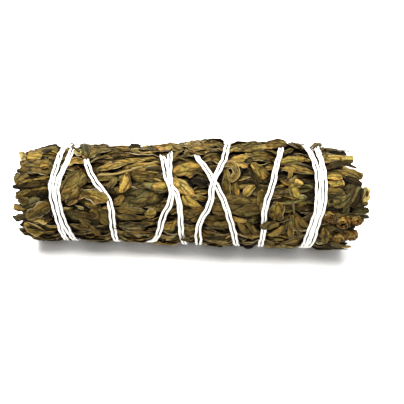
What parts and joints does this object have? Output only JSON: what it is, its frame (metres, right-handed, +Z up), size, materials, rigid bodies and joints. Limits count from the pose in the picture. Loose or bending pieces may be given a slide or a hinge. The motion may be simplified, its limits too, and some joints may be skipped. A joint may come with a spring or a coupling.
{
  "type": "dried sage bunch",
  "caption": "Bunch of dried sage sprigs with pressed brown and gold leaves, lying down, bound along its length with doubled white cotton string",
  "frame": {"origin": "centre of the bounding box in plan, on the surface that the bunch lies on", "axes": "+X along the bunch from its cut stems to its leaf tips, -Y to the viewer of the picture, +Z up"},
  "size_m": [0.1017, 0.0333, 0.0309],
  "materials": {
    "dried_sage": "dry brittle leaf, olive-brown to straw gold, matt with a faint sheen on the ribs",
    "cotton_string": "soft twisted cotton, off-white, matt"
  },
  "bodies": {
    "root": {"outer_sprig_01": "dried_sage", "outer_sprig_02": "dried_sage", "outer_sprig_03": "dried_sage", "outer_sprig_04": "dried_sage", "outer_sprig_05": "dried_sage", "outer_sprig_06": "dried_sage", "outer_sprig_07": "dried_sage", "outer_sprig_08": "dried_sage", "outer_sprig_09": "dried_sage", "outer_sprig_10": "dried_sage", "outer_sprig_11": "dried_sage", "inner_sprig_1": "dried_sage", "inner_sprig_2": "dried_sage", "inner_sprig_3": "dried_sage", "inner_sprig_4": "dried_sage", "inner_sprig_5": "dried_sage", "cotton_string": "cotton_string"}
  },
  "joints": []
}
